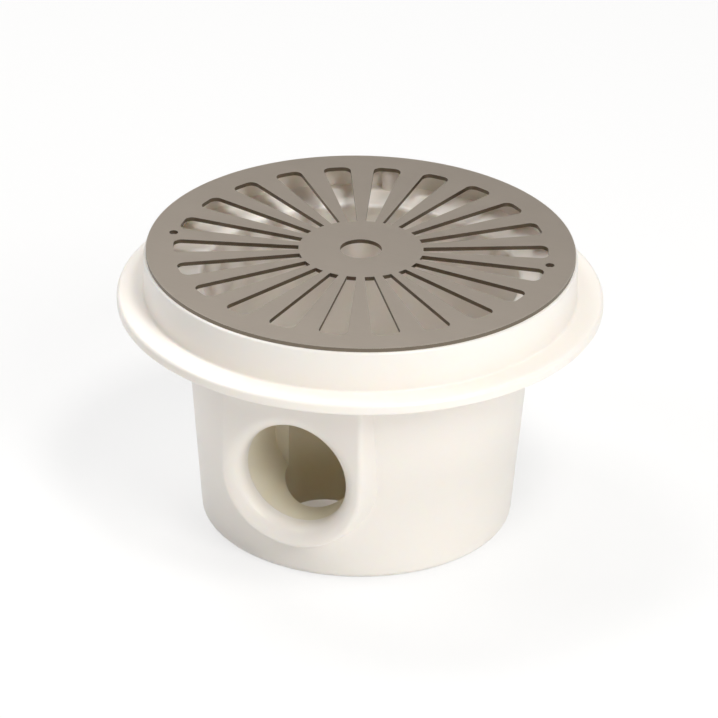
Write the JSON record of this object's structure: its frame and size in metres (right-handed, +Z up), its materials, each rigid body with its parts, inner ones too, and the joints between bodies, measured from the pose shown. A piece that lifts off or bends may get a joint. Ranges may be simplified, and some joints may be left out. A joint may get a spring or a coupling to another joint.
{
  "type": "gully trap",
  "caption": "Round floor gully trap: a flanged moulded bucket with a side outlet, a dip elbow inside that holds the water seal and a flat slotted steel grate on top.",
  "frame": {"origin": "centre of the underside of the bucket, on the axis of the flange and grate", "axes": "+Z up through the grate, -Y out of the side outlet, +X to the right as seen facing the outlet"},
  "size_m": [0.1704, 0.1704, 0.1012],
  "materials": {
    "body_plastic": "satin gloss",
    "elbow_plastic": "satin",
    "stainless": "fine brushed"
  },
  "bodies": {
    "root": {"body": "body_plastic", "trap_elbow": "elbow_plastic", "grate": "stainless"}
  },
  "joints": []
}
